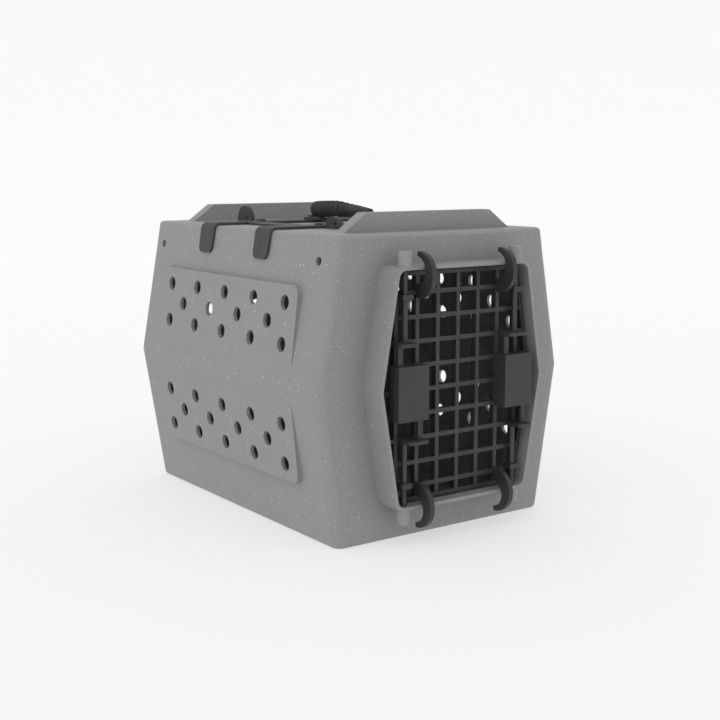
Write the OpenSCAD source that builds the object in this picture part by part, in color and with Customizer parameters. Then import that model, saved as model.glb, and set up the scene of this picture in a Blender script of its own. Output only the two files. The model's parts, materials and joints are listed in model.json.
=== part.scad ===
// Poultry transport crate: a one-piece moulded shell with a six-sided cross-section,
// a grid door held by sliding pins on both sides, and a carrying handle on the deck.
// Millimetres, +Z up, the door faces -Y, and the origin is the middle of the base.

/* [Shell] */
// Length of the shell from the front wall to the rear wall
length = 550; // [520:10:650]
// Width across the deck
deck_width = 386; // [370:2:400]
// Width across the waist, the widest part
waist_width = 464; // [450:2:480]
// Width across the base
base_width = 390; // [374:2:404]
// Height of the deck
deck_height = 446; // [440:1:460]
// Height of the waist
waist_height = 229; // [222:1:236]
// Wall thickness
wall = 6; // [5:0.5:6.5]
// Radius of the edges round the deck, the waist and the base
edge_round = 7; // [7:0.5:10]
// Radius of the upright corners seen from above
plan_round = 16; // [14:1:22]

/* [Door] */
// How far the door collar stands out of the front wall
collar_depth = 44; // [40:1:50]
// Clear width of the doorway at its top
doorway_top = 236; // [230:2:240]
// Clear width of the doorway at its waist
doorway_waist = 294; // [290:2:300]
// Width of one grid bar
bar_width = 6.5; // [5:0.5:8]
// Depth of one grid bar
bar_depth = 10; // [8:1:12]
// Radius of the sliding door pins
pin_radius = 4; // [3.5:0.25:4.5]
// Travel of each door pin
pin_travel = 14; // [10:1:15]

/* [Vents] */
// Diameter of a vent hole
vent_size = 22; // [16:1:24]
// Distance between vent holes in a row
vent_pitch = 88; // [80:2:92]
// How far the vent panels stand out at their far edge
vent_rise = 8; // [4:1:10]

/* [Deck] */
// Width of a deck strap
strap_width = 44; // [36:2:48]
// Thickness of a deck strap
strap_thick = 4; // [3:0.5:5]
// Distance from the middle of the deck to each strap
strap_offset = 85; // [80:1:90]
// Largest radius of the ribbed handle grip
grip_radius = 13.5; // [12:0.5:14]
// Height of the two guard ridges above the deck
ridge_height = 28; // [24:1:34]

/* [Hidden] */
$fn = 48;

shell_color = [0.53, 0.53, 0.53];
black = [0.20, 0.20, 0.20];
steel = [0.60, 0.60, 0.62];

left = -1;
right = 1;
up = 1;
down = -1;
front = -1;
rear = 1;

// Shell
front_y = -length / 2;
rear_y = length / 2;
lean_up = atan((waist_width - deck_width) / 2 / (deck_height - waist_height));
lean_low = atan((waist_width - base_width) / 2 / waist_height);
ring_radius = plan_round - edge_round;

// Door collar and doorway
doorway_top_z = 397;
doorway_low_z = 59;
collar_wall = 5;
collar_front = front_y - collar_depth;
corner_round = 12;
pin_x = 103;
pin_y = front_y - 34;
pin_hole = pin_radius + 0.08;
boss_radius = 10.5;
boss_height = 22;
socket_depth = 18;

// Door
door_gap = 3;
frame_width = 6;
door_front = front_y - 27;
door_back = door_front + bar_depth;
door_mid = 224;
bar_pitch_x = 37.5;
bar_pitch_z = 35;
eye_reach = 135;
hook_x = 75;
hook_thick = 8;
hook_radius = 33;
hook_y = front_y - 33;
hook_z = 389;
hook_mirror_z = 222.5;

// Latches
box_x = 98.75;
box_width = 53.5;
box_height = 79;
box_front = front_y - 51;
box_wall = 3;
leg_offset = 18;
leg_width = 9;
leg_y = front_y - 40;
leg_depth = 6;
tab_reach = 70;
tab_thick = 5;
tab_front = front_y - 58;
foot_thick = 3;
foot_in = 17.5;
foot_out = foot_in + pin_travel;
spring_radius = 6;
spring_wire = 1.4;
spring_turns = 6;
backplate = 3;
screw_x = 23.4;
screw_z = 36.2;

// Vents
vent_rows = [58, 88, 118];
panel_half = 208;
panel_near = 22;
panel_far = 144;
panel_round = 14;
rear_panel_near = 36;
rear_panel_half = 128;
rear_rise = 4;
tie_hole_radius = 6.5;
tie_hole_y = 238;
tie_hole_z = 409;

// Deck
ridge_y = 235;
ridge_thick = 22;
ridge_low_half = 155;
ridge_top_half = 116;
strap_bolt_x = 97;
cleat_x = 100;
cleat_y = 131;
cleat_rear_top = 28;
cleat_front_top = 19;
tongue_length = 38;
strap_gap = 0.2;
strap_top = deck_height + strap_gap + strap_thick;
pad_near = 100;
pad_far = 138;
pad_half = 62;
grip_axis_z = deck_height + 24;
grip_bend = 1000;
grip_front = 86;
grip_rear = 68;
grip_taper = 7;
rib_count = 10;
rib_half = 2.6;
rib_depth = 2.8;
rib_pitch = 7;
rib_growth = 1;
post_y = 57;
handle_bolt_y = 84;
foot_plate = 4;
bolt_radius = 2.5;
bolt_hole = 2.6;
nut_height = 5;
washer_height = 1.2;

// ---- Outlines ----

function unit(v) = v / norm(v);

// Points of the arc of radius r that rounds corner b between its neighbours a and c
function corner_arc(a, b, c, r, steps) =
    let (u = unit(a - b), w = unit(c - b), half = acos(u * w) / 2,
         centre = b + unit(u + w) * r / sin(half),
         start = b + u * r / tan(half) - centre, finish = b + w * r / tan(half) - centre,
         first = atan2(start[1], start[0]), last = atan2(finish[1], finish[0]),
         sweep = (last - first + 540) % 360 - 180)
    [for (i = [0:steps]) centre + r * [cos(first + sweep * i / steps), sin(first + sweep * i / steps)]];

function rounded(points, r, steps = 6) =
    [for (i = [0:len(points) - 1])
        each corner_arc(points[(i + len(points) - 1) % len(points)], points[i],
            points[(i + 1) % len(points)], r, steps)];

// Six-sided doorway outline in X and Z, grown by g on every side
function doorway(g) =
    let (t = doorway_top / 2 + g, w = doorway_waist / 2 + g,
         low = doorway_low_z - g, high = doorway_top_z + g)
    [[-t, low], [t, low], [w, waist_height], [t, high], [-t, high], [-w, waist_height]];

// Half width of the shell's outside at height z
function side_x(z) = z > waist_height
    ? waist_width / 2 - (z - waist_height) * tan(lean_up)
    : waist_width / 2 - (waist_height - z) * tan(lean_low);

module rounded_plate(points, r, thick) {
    linear_extrude(thick) polygon(rounded(points, r));
}

// Extrudes an X-Z outline from y = back towards the front
module along_y(back, depth) {
    translate([0, back, 0]) rotate([90, 0, 0]) linear_extrude(depth) children();
}

// ---- Shell ----

// Middle of the edge rounding at height z, on a side that leans by the angle lean
function edge_x(z, lean) = side_x(z) - edge_round / cos(lean);

// Hull of rings at the corners of the deck, the waist and the base
module body_hull(inset) {
    hull() for (s = [left, right], e = [front, rear], c = [
            [edge_x(deck_height - edge_round, lean_up), deck_height - edge_round],
            [edge_x(waist_height, lean_up), waist_height],
            [edge_x(edge_round, lean_low), edge_round]])
        translate([s * (c[0] - ring_radius), e * (length / 2 - plan_round), c[1]])
            rotate_extrude($fn = 32) translate([ring_radius, 0]) circle(edge_round - inset, $fn = 32);
}

// Wedge that carries one side outwards towards the edge far from the waist, v is up or down;
// with a positive inset it is the pocket behind that keeps the wall even
module vent_panel(s, v, inset = 0) {
    near = waist_height + v * panel_near;
    far = waist_height + v * panel_far;
    root = 2 + inset;
    low = near + v * inset;
    high = far - v * inset;
    y = panel_half - inset;
    intersection() {
        along_y(y, 2 * y) polygon([[s * (side_x(near) - root), near], [s * (side_x(near) - inset), near],
            [s * (side_x(far) + vent_rise - inset), far], [s * (side_x(far) - root), far]]);
        translate([s * waist_width / 2 - 60, 0, 0]) rotate([90, 0, 90])
            rounded_plate([[-y, low], [y, low], [y, high], [-y, high]], panel_round - inset, 120);
    }
}

module rear_panel(v, inset = 0) {
    near = waist_height + v * (rear_panel_near + inset);
    far = waist_height + v * (panel_far - inset);
    half = rear_panel_half - inset;
    translate([0, rear_y + rear_rise - inset, 0]) rotate([90, 0, 0])
        rounded_plate([[-half, near], [half, near], [half, far], [-half, far]], panel_round - inset, rear_rise + 4);
}

module guard_ridge(e) {
    base = deck_height - 3;
    slope = (ridge_low_half - ridge_top_half) / ridge_height;
    along_y(e * ridge_y + (e == front ? ridge_thick : 0), ridge_thick)
        polygon([[-ridge_low_half - 3 * slope, base], [ridge_low_half + 3 * slope, base],
            [ridge_top_half, deck_height + ridge_height], [-ridge_top_half, deck_height + ridge_height]]);
}

module pin_boss(s, v) {
    z = v == up ? doorway_top_z + collar_wall - 1 : doorway_low_z - collar_wall + 1 - boss_height;
    translate([s * pin_x, pin_y, z]) cylinder(r = boss_radius, h = boss_height);
}

module pin_socket(s, v) {
    z = v == up ? doorway_top_z - 4 : doorway_low_z - collar_wall - socket_depth;
    translate([s * pin_x, pin_y, z]) cylinder(r = pin_hole, h = socket_depth + collar_wall + 4);
}

module side_vents(v) {
    for (row = [0:2], k = [-2:2])
        if (row != 1 || k < 2)
            translate([0, (k + (row == 1 ? 0.5 : 0)) * vent_pitch, waist_height + v * vent_rows[row]])
                rotate([0, 90, 0]) cylinder(d = vent_size, h = waist_width + 60, center = true);
}

module rear_vents(v) {
    for (row = [0:2], k = [-1:1])
        if (row != 1 || k < 1)
            translate([(k + (row == 1 ? 0.5 : 0)) * vent_pitch, rear_y + 20, waist_height + v * vent_rows[row]])
                rotate([90, 0, 0]) cylinder(d = vent_size, h = 60);
}

module tie_down_hole(s, e) {
    translate([s * side_x(tie_hole_z), e * tie_hole_y, tie_hole_z])
        rotate([0, s * (90 - lean_up), 0]) cylinder(r = tie_hole_radius, h = 40, center = true);
}

module deck_holes() {
    for (e = [front, rear]) {
        translate([0, e * handle_bolt_y, deck_height - 30]) cylinder(r = bolt_hole, h = 60);
        for (s = [left, right]) {
            translate([s * strap_bolt_x, e * strap_offset, deck_height - 30]) cylinder(r = bolt_hole, h = 60);
            for (k = [-1, 1])
                translate([s * (cleat_x - 15), e * cleat_y + k * 13, deck_height - 30]) cylinder(r = 2, h = 60);
        }
    }
}

module shell() {
    color(shell_color) difference() {
        union() {
            body_hull(0);
            for (v = [up, down]) {
                for (s = [left, right]) {
                    vent_panel(s, v);
                    pin_boss(s, v);
                }
                rear_panel(v);
            }
            for (e = [front, rear]) guard_ridge(e);
            along_y(front_y + 3, collar_depth + 3) polygon(rounded(doorway(collar_wall), corner_round + 4));
        }
        body_hull(wall);
        along_y(front_y + 20, collar_depth + 40) polygon(rounded(doorway(0), corner_round));
        for (v = [up, down]) {
            side_vents(v);
            rear_vents(v);
            rear_panel(v, wall);
            for (s = [left, right]) {
                vent_panel(s, v, wall);
                pin_socket(s, v);
            }
        }
        for (s = [left, right], e = [front, rear]) tie_down_hole(s, e);
        deck_holes();
    }
}

// ---- Door ----

module grid_bars() {
    half_x = doorway_waist / 2;
    for (k = [-3:3])
        translate([k * bar_pitch_x - bar_width / 2, door_front, doorway_low_z])
            cube([bar_width, bar_depth, doorway_top_z - doorway_low_z]);
    for (k = [-4:4])
        translate([-half_x, door_front, door_mid + k * bar_pitch_z - bar_width / 2])
            cube([2 * half_x, bar_depth, bar_width]);
}

module pin_eye(s, v) {
    half_x = 9;
    half_z = 4;
    depth = door_front - (pin_y - 8) + 2;
    translate([s * pin_x - half_x, pin_y - 8, door_mid + v * eye_reach - half_z])
        cube([2 * half_x, depth, 2 * half_z]);
}

module door_grid() {
    color(black) difference() {
        union() {
            intersection() {
                grid_bars();
                along_y(door_back, bar_depth) polygon(rounded(doorway(-door_gap - 1), corner_round));
            }
            difference() {
                along_y(door_back, bar_depth) polygon(rounded(doorway(-door_gap), corner_round));
                along_y(door_back + 1, bar_depth + 2) polygon(rounded(doorway(-door_gap - frame_width), corner_round - 4));
            }
            for (s = [left, right]) {
                translate([s * box_x - box_width / 2, door_front, door_mid - box_height / 2])
                    cube([box_width, backplate, box_height]);
                for (v = [up, down]) pin_eye(s, v);
            }
        }
        for (s = [left, right]) {
            for (v = [up, down])
                translate([s * pin_x, pin_y, door_mid + v * eye_reach - 10]) cylinder(r = pin_hole, h = 20);
            for (x = [-1, 1], z = [-1, 1])
                translate([s * box_x + x * screw_x, 0, door_mid + z * screw_z]) rotate([90, 0, 0]) {
                    translate([0, 0, -door_front - 8]) cylinder(r = 1, h = 12, $fn = 24);
                    translate([0, 0, -door_back - 1]) cylinder(r = 2.2, h = bar_depth + 1 - backplate, $fn = 24);
                }
        }
    }
}

// Claw that reaches round the collar's edge; v is up for the claws at the top
module hook(s, v) {
    middle = v == up ? 0 : 2 * hook_mirror_z;
    color(black) translate([s * hook_x - hook_thick / 2, 0, middle]) rotate([90, 0, 90]) scale([1, v, 1])
        linear_extrude(hook_thick) difference() {
            translate([hook_y, hook_z]) circle(hook_radius, $fn = 72);
            translate([hook_y + 5, hook_z + 6]) circle(hook_radius - 13, $fn = 72);
            translate([hook_y + 2, hook_z]) square([60, 60]);
            translate([door_front, hook_z - 60]) square([60, 62]);
        }
}
module hook_upper_left() hook(left, up);
module hook_upper_right() hook(right, up);
module hook_lower_left() hook(left, down);
module hook_lower_right() hook(right, down);

// ---- Latches ----

function leg_x(s, v) = s * box_x - v * leg_offset;
function tab_z(v) = door_mid + v * tab_reach;
function foot_reach(s) = s == left ? foot_in : foot_out;

module leg_slot(s, v, grow) {
    translate([leg_x(s, v) - leg_width / 2 - grow, leg_y - leg_depth / 2 - grow, 0])
        cube([leg_width + 2 * grow, leg_depth + 2 * grow, 1000]);
}

module latch_housing(s) {
    inside = box_width - 2 * box_wall;
    color(black) difference() {
        translate([s * box_x - box_width / 2, box_front, door_mid - box_height / 2])
            cube([box_width, door_front - box_front, box_height]);
        translate([s * box_x - inside / 2, box_front + box_wall, door_mid - box_height / 2 + box_wall])
            cube([inside, door_front - box_front, box_height - 2 * box_wall]);
        for (v = [up, down]) intersection() {
            leg_slot(s, v, 0.4);
            translate([-500, -500, v == up ? door_mid : 0]) cube([1000, 1000, v == up ? 500 : door_mid]);
        }
        for (x = [-1, 1], z = [-1, 1])
            translate([s * box_x + x * screw_x, door_front + 1, door_mid + z * screw_z])
                rotate([90, 0, 0]) cylinder(r = 1, h = 9, $fn = 24);
    }
    color(black) for (x = [-1, 1], z = [-1, 1]) difference() {
        translate([s * box_x + x * 22.5 - 2.5, door_front - 8, door_mid + z * 35.5 - 2.5]) cube([5, 8, 5]);
        translate([s * box_x + x * screw_x, door_front + 1, door_mid + z * screw_z])
            rotate([90, 0, 0]) cylinder(r = 1, h = 9, $fn = 24);
    }
}
module latch_housing_left() latch_housing(left);
module latch_housing_right() latch_housing(right);

// Finger tab, leg and spring foot of one sliding pin
module slider(s, v) {
    z = tab_z(v);
    x = leg_x(s, v);
    low = min(x, s * pin_x) - 6;
    high = max(x, s * pin_x) + 6;
    foot_z = door_mid + v * foot_reach(s);
    color(black) difference() {
        union() {
            translate([0, 0, z - tab_thick / 2])
                rounded_plate([[low, tab_front], [high, tab_front], [high, door_front - 1], [low, door_front - 1]],
                    5.5, tab_thick);
            translate([x - leg_width / 2, leg_y - leg_depth / 2, min(z, foot_z)])
                cube([leg_width, leg_depth, abs(z - foot_z)]);
            translate([min(x, s * box_x) - 4.5, leg_y - 6, foot_z - foot_thick / 2])
                cube([abs(x - s * box_x) + 9, 12, foot_thick]);
        }
        translate([s * pin_x, pin_y, z - 10]) cylinder(r = pin_radius, h = 20);
    }
}
module slider_upper_left() slider(left, up);
module slider_lower_left() slider(left, down);
module slider_upper_right() slider(right, up);
module slider_lower_right() slider(right, down);

// The right pins stand in their sockets and carry the door; the left pins are drawn back
module door_pin(s, v) {
    inner = v == up ? doorway_top_z - 0.5 : doorway_low_z + 0.5;
    tip = s == right ? inner + v * pin_travel : inner;
    foot = tab_z(v) - v * tab_thick / 2;
    color(black) translate([s * pin_x, pin_y, min(tip, foot)]) cylinder(r = pin_radius, h = abs(tip - foot));
}
module pin_upper_left() door_pin(left, up);
module pin_lower_left() door_pin(left, down);
module pin_upper_right() door_pin(right, up);
module pin_lower_right() door_pin(right, down);

function coil(t, height, sides) =
    [for (k = [0:sides - 1]) let (a = 360 * t * spring_turns, b = 360 * k / sides,
        r = spring_radius + spring_wire / 2 * cos(b))
        [r * cos(a), r * sin(a), spring_wire / 2 + t * (height - spring_wire) + spring_wire / 2 * sin(b)]];

module helix(height) {
    sides = 6;
    rings = 14 * spring_turns;
    points = [for (i = [0:rings]) each coil(i / rings, height, sides)];
    faces = concat([[for (k = [0:sides - 1]) k]],
        [for (i = [0:rings - 1], k = [0:sides - 1])
            [i * sides + k, (i + 1) * sides + k, (i + 1) * sides + (k + 1) % sides, i * sides + (k + 1) % sides]],
        [[for (k = [sides - 1:-1:0]) rings * sides + k]]);
    polyhedron(points, faces, convexity = 4);
}

module latch_spring(s) {
    half = foot_reach(s) - foot_thick / 2;
    color(steel) translate([s * box_x, leg_y, door_mid - half]) helix(2 * half);
}
module latch_spring_left() latch_spring(left);
module latch_spring_right() latch_spring(right);

module housing_screws() {
    color(steel) for (s = [left, right], x = [-1, 1], z = [-1, 1])
        translate([s * box_x + x * screw_x, door_front + backplate, door_mid + z * screw_z]) rotate([90, 0, 0]) {
            cylinder(r = 1, h = 9, $fn = 24);
            translate([0, 0, -1.2]) cylinder(r = 2, h = 1.2, $fn = 24);
        }
}

// ---- Deck fittings ----

// The handle's axis is a shallow arch; its grip is thick at the rear and tapers to the front
function arch_z(y) = grip_axis_z - grip_bend + sqrt(grip_bend * grip_bend - y * y);
function grip_r(y) = y > 0 ? grip_radius : grip_radius - grip_taper * pow(-y / grip_front, 0.7);
function rib_y(k) = grip_rear - 2 - rib_pitch * k - rib_growth * k * (k - 1) / 2;

// Round bar along the arch from y = a back to y = b
module arch_bar(a, b, radius_a, radius_b) {
    dy = b - a;
    dz = arch_z(b) - arch_z(a);
    translate([0, a, arch_z(a)]) rotate([atan2(-dy, dz), 0, 0])
        cylinder(r1 = radius_a, r2 = radius_b, h = norm([dy, dz]));
}

module handle_core() {
    low = arch_z(post_y) - 4;
    color(steel) translate([-6, -post_y - 7, low]) cube([12, 2 * post_y + 14, 2]);
}

module handle_grip() {
    last = rib_y(rib_count - 1);
    color(black) difference() {
        union() {
            for (k = [0:rib_count - 2])
                arch_bar(rib_y(k + 1), rib_y(k), grip_r(rib_y(k + 1)) - rib_depth, grip_r(rib_y(k)) - rib_depth);
            for (k = [0:rib_count - 1])
                arch_bar(rib_y(k) - rib_half, rib_y(k) + rib_half, grip_r(rib_y(k)), grip_r(rib_y(k)));
            arch_bar(-grip_front, last, grip_r(-grip_front), grip_r(last) - rib_depth);
        }
        translate([-6, -post_y - 7, arch_z(post_y) - 4]) cube([12, 2 * post_y + 14, 2]);
        for (e = [front, rear]) handle_post(e);
    }
}

module handle_post(e) {
    translate([-6, e * post_y - 7, strap_top]) cube([12, 14, arch_z(post_y) + 2 - strap_top]);
}

module handle_end(e) {
    color(black) difference() {
        union() {
            handle_post(e);
            translate([-9, e * (post_y + 15) - 23, strap_top]) cube([18, 46, foot_plate]);
        }
        translate([-6, -post_y - 7, arch_z(post_y) - 4]) cube([12, 2 * post_y + 14, 2]);
        translate([0, e * handle_bolt_y, strap_top - 1]) cylinder(r = bolt_hole, h = 8);
    }
}
module handle_end_front() handle_end(front);
module handle_end_rear() handle_end(rear);

module handle_bolts() {
    top = strap_top + foot_plate;
    low = deck_height - wall - 9;
    color(steel) for (e = [front, rear]) translate([0, e * handle_bolt_y, 0]) {
        translate([0, 0, low]) cylinder(r = bolt_radius, h = top - low);
        translate([0, 0, top]) cylinder(r = 6, h = 4);
    }
}

// Nut and washer under the deck
module nut_and_washer(x, y) {
    translate([x, y, deck_height - wall - nut_height - washer_height - 0.1]) difference() {
        union() {
            cylinder(r = 5.8, h = nut_height, $fn = 6);
            translate([0, 0, nut_height]) cylinder(r = 9, h = washer_height);
        }
        translate([0, 0, -1]) cylinder(r = bolt_radius, h = nut_height + washer_height + 2);
    }
}

module handle_nuts() {
    color(steel) for (e = [front, rear]) nut_and_washer(0, e * handle_bolt_y);
}

// One side of the strap's cross-section in X and Z, gap away from the shell, from tip to deck
function strap_side(gap) =
    let (c = [edge_x(deck_height - edge_round, lean_up), deck_height - edge_round],
         r = edge_round + gap,
         start = c + r * [cos(lean_up), sin(lean_up)])
    concat([start + tongue_length * [sin(lean_up), -cos(lean_up)]],
        [for (i = [0:10]) let (a = lean_up + (90 - lean_up) * i / 10) c + r * [cos(a), sin(a)]]);

function flip(points) = [for (i = [len(points) - 1:-1:0]) [-points[i][0], points[i][1]]];
function backwards(points) = [for (i = [len(points) - 1:-1:0]) points[i]];

// Strap across the deck with a tongue down each side
module deck_strap(e) {
    half = strap_width / 2;
    outer = concat(strap_side(strap_gap + strap_thick), flip(strap_side(strap_gap + strap_thick)));
    inner = concat(strap_side(strap_gap), flip(strap_side(strap_gap)));
    low = inner[0][1] - 1;
    high = deck_height + 20;
    color(black) translate([0, e * strap_offset, 0]) difference() {
        intersection() {
            along_y(half, strap_width) polygon(concat(outer, backwards(inner)));
            translate([-waist_width / 2, 0, 0]) rotate([90, 0, 90]) linear_extrude(waist_width) polygon(concat(
                [[half, high], [-half, high]],
                corner_arc([-half, high], [-half + 2, low], [half - 2, low], 13, 8),
                corner_arc([-half + 2, low], [half - 2, low], [half, high], 13, 8)));
        }
        translate([0, e * (handle_bolt_y - strap_offset), deck_height - 10]) cylinder(r = bolt_hole, h = 30);
        for (s = [left, right]) translate([s * strap_bolt_x, 0, deck_height - 10]) cylinder(r = bolt_hole, h = 30);
    }
}

module strap_front() deck_strap(front);
module strap_rear() deck_strap(rear);

module strap_bolts() {
    low = deck_height - wall - 8;
    color(steel) for (s = [left, right], e = [front, rear]) translate([s * strap_bolt_x, e * strap_offset, 0]) {
        translate([0, 0, low]) cylinder(r = bolt_radius, h = strap_top - low);
        translate([0, 0, strap_top]) cylinder(r = 7, h = 2);
        translate([0, 0, strap_top + 2]) cylinder(r1 = 7, r2 = 4.5, h = 2);
    }
}

module strap_nuts() {
    color(steel) for (s = [left, right], e = [front, rear]) nut_and_washer(s * strap_bolt_x, e * strap_offset);
}

// Upright half-round cleat on a foot, with a small eye for a cord
module cleat(s, e) {
    head = 23;
    thick = 6;
    foot = 4;
    top = e == rear ? cleat_rear_top : cleat_front_top;
    color(black) translate([s * cleat_x, e * cleat_y, deck_height]) difference() {
        union() {
            translate([-thick / 2, 0, 0]) rotate([90, 0, 90]) linear_extrude(thick) intersection() {
                union() {
                    translate([0, top - head]) circle(head, $fn = 72);
                    translate([-head, 0]) square([2 * head, max(top - head, 1)]);
                }
                translate([-head, 0]) square([2 * head, top]);
            }
            translate([s > 0 ? -24 : 0, 0, 0])
                rounded_plate([[0, -head], [24, -head], [24, head], [0, head]], 5, foot);
        }
        for (k = [-1, 1]) translate([-s * 15, k * 13, -1]) cylinder(r = 2, h = 20);
        translate([-10, -6, 8]) rotate([0, 90, 0]) cylinder(r = 2.5, h = 20);
    }
}
module cleat_front_left() cleat(left, front);
module cleat_front_right() cleat(right, front);
module cleat_rear_left() cleat(left, rear);
module cleat_rear_right() cleat(right, rear);

// Flat pad between the straps that keeps cargo from scuffing the deck
module deck_pad(s) {
    x = s > 0 ? pad_near : -pad_far;
    wide = pad_far - pad_near;
    color(black) translate([x, 0, deck_height])
        rounded_plate([[0, -pad_half], [wide, -pad_half], [wide, pad_half], [0, pad_half]], 4, 3.5);
}
module deck_pad_left() deck_pad(left);
module deck_pad_right() deck_pad(right);

module cleat_screws() {
    color(steel) for (s = [left, right], e = [front, rear], k = [-1, 1])
        translate([s * (cleat_x - 15), e * cleat_y + k * 13, deck_height]) {
            translate([0, 0, -11]) cylinder(r = 1.95, h = 15);
            translate([0, 0, 4]) cylinder(r1 = 4, r2 = 2.6, h = 2);
        }
}

shell();
door_grid();
hook_upper_left();
hook_upper_right();
hook_lower_left();
hook_lower_right();
latch_housing_left();
latch_housing_right();
slider_upper_left();
slider_lower_left();
slider_upper_right();
slider_lower_right();
pin_upper_left();
pin_lower_left();
pin_upper_right();
pin_lower_right();
latch_spring_left();
latch_spring_right();
housing_screws();
handle_grip();
handle_core();
handle_end_front();
handle_end_rear();
handle_bolts();
handle_nuts();
strap_front();
strap_rear();
strap_bolts();
strap_nuts();
cleat_front_left();
cleat_front_right();
cleat_rear_left();
cleat_rear_right();
cleat_screws();
deck_pad_left();
deck_pad_right();
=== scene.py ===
import json
import math

import bmesh
import bpy
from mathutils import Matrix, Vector


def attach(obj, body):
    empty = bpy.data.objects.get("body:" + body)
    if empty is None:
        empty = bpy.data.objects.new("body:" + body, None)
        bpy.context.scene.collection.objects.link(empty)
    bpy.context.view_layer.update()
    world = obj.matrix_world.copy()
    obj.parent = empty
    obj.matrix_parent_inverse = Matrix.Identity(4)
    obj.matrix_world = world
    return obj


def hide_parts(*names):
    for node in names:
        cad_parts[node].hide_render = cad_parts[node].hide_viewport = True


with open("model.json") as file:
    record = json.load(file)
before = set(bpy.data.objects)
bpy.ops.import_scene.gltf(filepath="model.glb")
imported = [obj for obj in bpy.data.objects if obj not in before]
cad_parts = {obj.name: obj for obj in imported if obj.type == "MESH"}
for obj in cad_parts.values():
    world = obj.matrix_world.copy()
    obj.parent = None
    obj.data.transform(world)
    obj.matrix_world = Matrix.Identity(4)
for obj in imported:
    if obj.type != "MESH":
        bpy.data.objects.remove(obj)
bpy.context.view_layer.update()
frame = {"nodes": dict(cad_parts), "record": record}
nodes = frame["nodes"]
scene = bpy.context.scene

# ---------------------------------------------------------------- camera

CAMERA_PLACE = Vector((-1.1225, -1.6321, 0.5398))
CAMERA_YAW = math.radians(-35.47)
CAMERA_TILT = math.radians(9.16)
CAMERA_LENS = 60.27
SENSOR = 36.0
CLIP_NEAR = 0.05
CLIP_FAR = 60.0


def make_camera():
    data = bpy.data.cameras.new("camera")
    data.lens = CAMERA_LENS
    data.sensor_width = SENSOR
    data.clip_start = CLIP_NEAR
    data.clip_end = CLIP_FAR
    camera = bpy.data.objects.new("camera", data)
    camera.location = CAMERA_PLACE
    camera.rotation_euler = (math.pi / 2 - CAMERA_TILT, 0.0, CAMERA_YAW)
    scene.collection.objects.link(camera)
    scene.camera = camera


make_camera()

# ---------------------------------------------------------------- materials

# Sockets of the colour kind on the Mix node, which has one set for each data type
MIX_AMOUNT = 0
MIX_FIRST = 6
MIX_SECOND = 7
MIX_RESULT = 2


class Maker:
    """Builds one node material. Most methods add a node and return its output socket."""

    def __init__(self, name):
        self.material = bpy.data.materials.new(name)
        self.material.use_nodes = True
        self.tree = self.material.node_tree
        self.shader = self.tree.nodes["Principled BSDF"]
        self.place = self.tree.nodes.new("ShaderNodeTexCoord").outputs["Object"]

    def node(self, kind, **values):
        made = self.tree.nodes.new(kind)
        for key, value in values.items():
            setattr(made, key, value)
        return made

    def feed(self, socket, value):
        if isinstance(value, bpy.types.NodeSocket):
            self.tree.links.new(value, socket)
        else:
            socket.default_value = value

    def noise(self, scale, detail, rough=0.55, stretch=(1, 1, 1)):
        made = self.node("ShaderNodeTexNoise")
        made.inputs["Scale"].default_value = scale
        made.inputs["Detail"].default_value = detail
        made.inputs["Roughness"].default_value = rough
        self.feed(made.inputs["Vector"], self.stretched(stretch))
        return made.outputs["Fac"]

    def stretched(self, stretch):
        if tuple(stretch) == (1, 1, 1):
            return self.place
        mapping = self.node("ShaderNodeMapping")
        mapping.inputs["Scale"].default_value = stretch
        self.feed(mapping.inputs["Vector"], self.place)
        return mapping.outputs["Vector"]

    def cells(self, scale):
        """Distance to the nearest point and a random colour for that point's cell."""
        made = self.node("ShaderNodeTexVoronoi")
        made.inputs["Scale"].default_value = scale
        self.feed(made.inputs["Vector"], self.place)
        return made.outputs["Distance"], made.outputs["Color"]

    def calculate(self, operation, first, second, clamp=False):
        made = self.node("ShaderNodeMath", operation=operation, use_clamp=clamp)
        self.feed(made.inputs[0], first)
        self.feed(made.inputs[1], second)
        return made.outputs[0]

    def remap(self, value, low, high, out_low, out_high):
        made = self.node("ShaderNodeMapRange")
        self.feed(made.inputs["Value"], value)
        made.inputs["From Min"].default_value = low
        made.inputs["From Max"].default_value = high
        made.inputs["To Min"].default_value = out_low
        made.inputs["To Max"].default_value = out_high
        return made.outputs["Result"]

    def spread(self, noise, out_low, out_high):
        """Stretches the middle of a noise, where nearly all its values lie, to the given range."""
        return self.remap(noise, 0.3, 0.7, out_low, out_high)

    def mix(self, amount, first, second):
        made = self.node("ShaderNodeMix", data_type="RGBA")
        self.feed(made.inputs[MIX_AMOUNT], amount)
        self.feed(made.inputs[MIX_FIRST], first)
        self.feed(made.inputs[MIX_SECOND], second)
        return made.outputs[MIX_RESULT]

    def channel(self, colour, index):
        made = self.node("ShaderNodeSeparateColor")
        self.feed(made.inputs[0], colour)
        return made.outputs[index]

    def bump(self, height, distance, strength, below=None):
        made = self.node("ShaderNodeBump")
        made.inputs["Strength"].default_value = strength
        made.inputs["Distance"].default_value = distance
        self.feed(made.inputs["Height"], height)
        if below is not None:
            self.feed(made.inputs["Normal"], below)
        return made.outputs["Normal"]

    def edges(self):
        """1 on worn convex edges, 0 on flat ground."""
        point = self.node("ShaderNodeNewGeometry").outputs["Pointiness"]
        return self.remap(point, low=0.52, high=0.62, out_low=0.0, out_high=1.0)

    def finish(self, colour, rough, normal, metal=0.0):
        self.feed(self.shader.inputs["Base Color"], colour)
        self.feed(self.shader.inputs["Roughness"], rough)
        self.feed(self.shader.inputs["Normal"], normal)
        self.shader.inputs["Metallic"].default_value = metal
        return self.material


def grey(value, warm=0.0):
    """Linear grey; warm moves it a little towards red."""
    return (value * (1 + warm), value, value * (1 - warm), 1.0)


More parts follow.
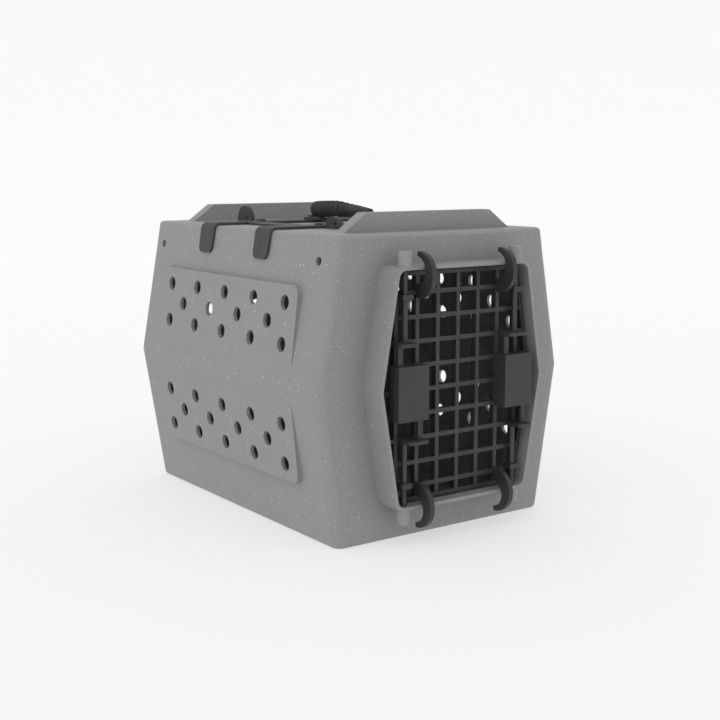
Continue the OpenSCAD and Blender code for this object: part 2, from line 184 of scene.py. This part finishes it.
SHELL_GREY = 0.262
PALE_SPECK = (0.74, 0.72, 0.68, 1.0)
PINK_SPECK = (0.72, 0.56, 0.48, 1.0)
DARK_SPECK = 0.075
# Cells per metre, share of the cells left bare, largest radius in cells, pale or dark
SPECKS = ((105.0, 0.58, 0.15, True), (230.0, 0.66, 0.20, True), (170.0, 0.76, 0.15, False))
SMALLEST_SPECK = 0.45
SPECK_RIM = 0.04
SPECK_STRENGTH = 0.85


def shell_material():
    """Rotomoulded plastic: grey, flecked with pale, pinkish and dark granules."""
    m = Maker("shell_plastic")
    cloud = m.noise(scale=5.0, detail=4.0)
    fine = m.noise(scale=420.0, detail=2.0)
    colour = m.mix(cloud, grey(SHELL_GREY * 0.94, 0.004), grey(SHELL_GREY * 1.06, 0.012))
    colour = m.mix(m.spread(fine, 0.0, 0.35), colour, grey(SHELL_GREY * 0.86, 0.01))
    for scale, bare, largest, pale in SPECKS:
        distance, cell = m.cells(scale)
        chosen = m.calculate("GREATER_THAN", m.channel(cell, 0), bare)
        radius = m.remap(m.channel(cell, 1), 0.0, 1.0, largest * SMALLEST_SPECK, largest)
        inside = m.remap(m.calculate("SUBTRACT", radius, distance), 0.0, SPECK_RIM, 0.0, 1.0)
        spot = m.calculate("MULTIPLY", m.calculate("MULTIPLY", chosen, inside), SPECK_STRENGTH)
        tint = m.mix(m.channel(cell, 2), PALE_SPECK, PINK_SPECK) if pale else grey(DARK_SPECK)
        colour = m.mix(spot, colour, tint)
    streaks = m.noise(scale=26.0, detail=8.0, rough=0.75, stretch=(1, 0.25, 1))
    scuffs = m.remap(streaks, low=0.62, high=0.78, out_low=0.0, out_high=0.20)
    colour = m.mix(scuffs, colour, grey(SHELL_GREY * 1.5))
    rough = m.spread(m.noise(scale=38.0, detail=5.0), 0.50, 0.64)
    peel = m.bump(m.noise(scale=240.0, detail=3.0), distance=0.0006, strength=0.35)
    grain = m.noise(scale=1500.0, detail=2.0)
    return m.finish(colour, rough, m.bump(grain, distance=0.0001, strength=0.3, below=peel))


def black_plastic(name, value, rough, wear=0.35, grain=1400.0):
    """Moulded black plastic with a spark-eroded grain, rubbed a little paler on its edges."""
    m = Maker(name)
    cloud = m.noise(scale=22.0, detail=5.0)
    colour = m.mix(cloud, grey(value * 0.88), grey(value * 1.14))
    patches = m.remap(m.noise(scale=160.0, detail=4.0), low=0.35, high=0.7, out_low=0.0, out_high=wear)
    rubbed = m.calculate("MULTIPLY", m.edges(), patches, clamp=True)
    colour = m.mix(rubbed, colour, grey(value * 2.6 + 0.03))
    dust = m.noise(scale=70.0, detail=7.0, rough=0.7)
    colour = m.mix(m.remap(dust, low=0.55, high=0.8, out_low=0.0, out_high=0.10), colour, grey(0.20, 0.04))
    shine = m.spread(m.noise(scale=90.0, detail=4.0), rough - 0.06, rough + 0.08)
    ground = m.bump(m.noise(scale=60.0, detail=3.0), distance=0.0005, strength=0.15)
    spark = m.noise(scale=grain, detail=2.0)
    return m.finish(colour, shine, m.bump(spark, distance=0.00012, strength=0.45, below=ground))


def rubber(name, value, stretch=(1, 1, 1)):
    """Matt rubber with faint moulding lines and a bloom of dust."""
    m = Maker(name)
    dust = m.noise(scale=45.0, detail=7.0, rough=0.7)
    bloom = m.remap(dust, low=0.4, high=0.75, out_low=0.0, out_high=0.22)
    cloud = m.noise(scale=14.0, detail=4.0)
    colour = m.mix(cloud, grey(value * 0.86), grey(value * 1.12))
    colour = m.mix(bloom, colour, grey(value * 1.9 + 0.01, 0.02))
    lines = m.noise(scale=300.0, detail=3.0, rough=0.6, stretch=stretch)
    shine = m.spread(lines, 0.60, 0.76)
    ground = m.bump(lines, distance=0.0004, strength=0.3)
    grain = m.noise(scale=1800.0, detail=2.0)
    return m.finish(colour, shine, m.bump(grain, distance=0.0001, strength=0.4, below=ground))


def steel(name, value, rough, wear):
    """Plated or blackened steel with fine turning marks and rubbed edges."""
    m = Maker(name)
    marks = m.noise(scale=900.0, detail=4.0, rough=0.7, stretch=(1, 1, 0.15))
    cloud = m.noise(scale=120.0, detail=5.0)
    colour = m.mix(cloud, grey(value * 0.8), grey(value * 1.2))
    rubbed = m.calculate("MULTIPLY", m.edges(), wear, clamp=True)
    colour = m.mix(rubbed, colour, grey(0.55))
    shine = m.spread(marks, rough - 0.08, rough + 0.10)
    return m.finish(colour, shine, m.bump(marks, distance=0.0001, strength=0.4), metal=0.85)


# The pins are steel under a smooth black coat, so they use the plastic's recipe.
MATERIALS = {
    "shell_plastic": shell_material(),
    "door_plastic": black_plastic("door_plastic", 0.026, rough=0.50),
    "latch_plastic": black_plastic("latch_plastic", 0.030, rough=0.52, wear=0.25),
    "pin_steel": black_plastic("pin_steel", 0.034, rough=0.36, wear=0.5, grain=2200.0),
    "bright_steel": steel("bright_steel", 0.48, rough=0.34, wear=0.2),
    "screw_steel": steel("screw_steel", 0.07, rough=0.40, wear=0.35),
    "grip_rubber": rubber("grip_rubber", 0.026),
    "strap_rubber": rubber("strap_rubber", 0.042, stretch=(1, 0.12, 1)),
    "cleat_plastic": black_plastic("cleat_plastic", 0.030, rough=0.52, wear=0.25),
}


def give(piece, slot):
    piece.data.materials.clear()
    piece.data.materials.append(MATERIALS[slot])


# ---------------------------------------------------------------- carried-over nodes

MERGE = 0.00002
SHARP_ANGLE = math.radians(32.0)
BEVEL_STEPS = 3
SMALL_EDGE = 0.0004
FINE_WIRE = ("latch_spring_left", "latch_spring_right")
ROUNDING = {
    "shell_plastic": 0.0015,
    "door_plastic": 0.0008,
    "latch_plastic": 0.0010,
    "pin_steel": 0.0006,
    "screw_steel": 0.0004,
    "bright_steel": 0.0002,
    "strap_rubber": 0.0008,
    "cleat_plastic": 0.0009,
}
slot_of = {row["node"]: row["material_slot"] for row in frame["record"]["subparts"]}


def smooth(piece):
    for face in piece.data.polygons:
        face.use_smooth = True


def edge_width(name):
    """The slot's rounding, but a small one on the thin ends of the handle."""
    if name.startswith("handle_end"):
        return SMALL_EDGE
    return ROUNDING.get(slot_of[name], SMALL_EDGE)


def soften(piece, width):
    """Rounds the sharp edges of a CAD node with modifiers; no vertex of its mesh moves."""
    weld = piece.modifiers.new("weld", "WELD")
    weld.merge_threshold = MERGE
    bevel = piece.modifiers.new("bevel", "BEVEL")
    bevel.width = width
    bevel.segments = BEVEL_STEPS
    bevel.limit_method = "ANGLE"
    bevel.angle_limit = SHARP_ANGLE
    bevel.miter_outer = "MITER_ARC"
    bevel.use_clamp_overlap = True
    normals = piece.modifiers.new("normals", "WEIGHTED_NORMAL")
    normals.keep_sharp = True


for name, piece in nodes.items():
    give(piece, slot_of[name])
    smooth(piece)
    if name not in FINE_WIRE:
        soften(piece, edge_width(name))

# ---------------------------------------------------------------- ribbed grip

# The grip follows an arc in the middle plane; lengths are in metres.
AXIS_Z = 0.470
BEND = 1.0
GRIP_FRONT = -0.086
GRIP_REAR = 0.0686
THICK = 0.0135
TAPER = 0.007
TAPER_POWER = 0.7
RIB_HALF = 0.0024
RIB_DEPTH = 0.0036
STRIP_COVER = 0.0084
FIRST_RIB = 0.066
RIB_PITCH = 0.007
PITCH_GROWTH = 0.0005
RIB_COUNT = 10
RIBS = [FIRST_RIB - RIB_PITCH * k - PITCH_GROWTH * k * (k - 1) for k in range(RIB_COUNT)]
PLAIN_FROM = RIBS[-1] - RIB_HALF
PLAIN_RISE = 0.010
END_ROUND = 0.0015
GRIP_STEP = 0.0005
GRIP_SIDES = 72


def grip_core(y):
    """Radius over the ribs: even at the rear, tapering towards the front."""
    if y > 0:
        return THICK
    return THICK - TAPER * min(1.0, y / GRIP_FRONT) ** TAPER_POWER


def grip_radius(y):
    """Ribbed from the rear up to PLAIN_FROM, plain in front of it, rounded at both ends."""
    away = min(abs(y - rib) for rib in RIBS) / RIB_HALF
    swell = (1.0 - away ** 4) ** 0.5 if away < 1.0 else 0.0
    radius = max(grip_core(y) - RIB_DEPTH * (1.0 - swell), STRIP_COVER)
    if y < PLAIN_FROM:
        lift = min(1.0, (PLAIN_FROM - y) / PLAIN_RISE)
        radius += (grip_core(y) - radius) * lift * lift * (3 - 2 * lift)
    end = min(y - GRIP_FRONT, GRIP_REAR - y)
    if end < END_ROUND:
        radius -= END_ROUND - math.sqrt(max(0.0, END_ROUND ** 2 - (END_ROUND - end) ** 2))
    return radius


def grip_ring(mesh, y):
    drop = math.sqrt(BEND * BEND - y * y)
    along = Vector((0.0, drop, -y)) / BEND
    out = Vector((0.0, -along.z, along.y))
    middle = Vector((0.0, y, AXIS_Z - BEND + drop))
    radius = grip_radius(y)
    ring = []
    for k in range(GRIP_SIDES):
        turn = 2 * math.pi * k / GRIP_SIDES
        spoke = Vector((math.cos(turn), 0, 0)) + out * math.sin(turn)
        ring.append(mesh.verts.new(middle + radius * spoke))
    return ring


def make_grip():
    mesh = bmesh.new()
    count = int(round((GRIP_REAR - GRIP_FRONT) / GRIP_STEP))
    rings = []
    for i in range(count + 1):
        rings.append(grip_ring(mesh, GRIP_FRONT + (GRIP_REAR - GRIP_FRONT) * i / count))
    for a, b in zip(rings, rings[1:]):
        for k in range(GRIP_SIDES):
            n = (k + 1) % GRIP_SIDES
            mesh.faces.new((a[k], a[n], b[n], b[k])).smooth = True
    mesh.faces.new(rings[0])
    mesh.faces.new(rings[-1])
    bmesh.ops.recalc_face_normals(mesh, faces=mesh.faces)
    data = bpy.data.meshes.new("ribbed_grip")
    mesh.to_mesh(data)
    mesh.free()
    grip = bpy.data.objects.new("ribbed_grip", data)
    scene.collection.objects.link(grip)
    give(grip, "grip_rubber")
    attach(grip, "crate")
    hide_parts("handle_grip")


make_grip()

# ---------------------------------------------------------------- stage and light


FLOOR_NEAR = -6.0
FLOOR_FAR = 5.0
FLOOR_BEND = 2.5
FLOOR_TOP = 7.0
FLOOR_HALF_WIDTH = 12.0
BEND_STEPS = 16
FLOOR_GREY = 0.44
FLOOR_ROUGH = 0.9
FLOOR_GLOW = 0.50


def make_stage():
    """Pale floor that curves up into a backdrop behind the crate."""
    mesh = bmesh.new()
    away = Vector((math.sin(-CAMERA_YAW), math.cos(CAMERA_YAW), 0.0))
    side = Vector((away.y, -away.x, 0.0))
    line = [(FLOOR_NEAR, 0.0)]
    for i in range(BEND_STEPS + 1):
        turn = math.pi / 2 * i / BEND_STEPS
        line.append((FLOOR_FAR + FLOOR_BEND * math.sin(turn), FLOOR_BEND - FLOOR_BEND * math.cos(turn)))
    line.append((FLOOR_FAR + FLOOR_BEND, FLOOR_TOP))
    rows = []
    for distance, height in line:
        middle = away * distance
        up = Vector((0, 0, height))
        left = mesh.verts.new(middle + side * -FLOOR_HALF_WIDTH + up)
        right = mesh.verts.new(middle + side * FLOOR_HALF_WIDTH + up)
        rows.append((left, right))
    for a, b in zip(rows, rows[1:]):
        mesh.faces.new((a[0], a[1], b[1], b[0])).smooth = True
    data = bpy.data.meshes.new("studio")
    mesh.to_mesh(data)
    mesh.free()
    studio = bpy.data.objects.new("studio", data)
    scene.collection.objects.link(studio)
    m = Maker("studio_white")
    m.shader.inputs["Emission Color"].default_value = grey(1.0)
    m.shader.inputs["Emission Strength"].default_value = FLOOR_GLOW
    waves = m.bump(m.noise(scale=3.0, detail=2.0), distance=0.001, strength=0.05)
    data.materials.append(m.finish(grey(FLOOR_GREY), FLOOR_ROUGH, waves))


AIR = 0.80
WHITE = (1.0, 1.0, 1.0, 1.0)
SUN_AWAY = 3.0
# Name, the way the light travels, its spread in degrees, its strength
SUNS = (("key", (0.80, 0.25, -0.70), 80.0, 0.56), ("top", (-0.15, 0.35, -1.0), 100.0, 0.12))


def soft_sun(name, towards, spread, strength):
    """Very wide sun: a soft studio light that falls evenly on the whole floor."""
    data = bpy.data.lights.new(name, "SUN")
    data.angle = math.radians(spread)
    data.energy = strength
    light = bpy.data.objects.new(name, data)
    light.rotation_euler = Vector(towards).to_track_quat("-Z", "Y").to_euler()
    light.location = Vector(towards) * -SUN_AWAY
    scene.collection.objects.link(light)


def make_light():
    world = bpy.data.worlds.new("studio_air")
    world.use_nodes = True
    background = world.node_tree.nodes["Background"]
    background.inputs["Color"].default_value = WHITE
    background.inputs["Strength"].default_value = AIR
    scene.world = world
    for sun in SUNS:
        soft_sun(*sun)


make_stage()
make_light()
scene.view_settings.view_transform = "Standard"
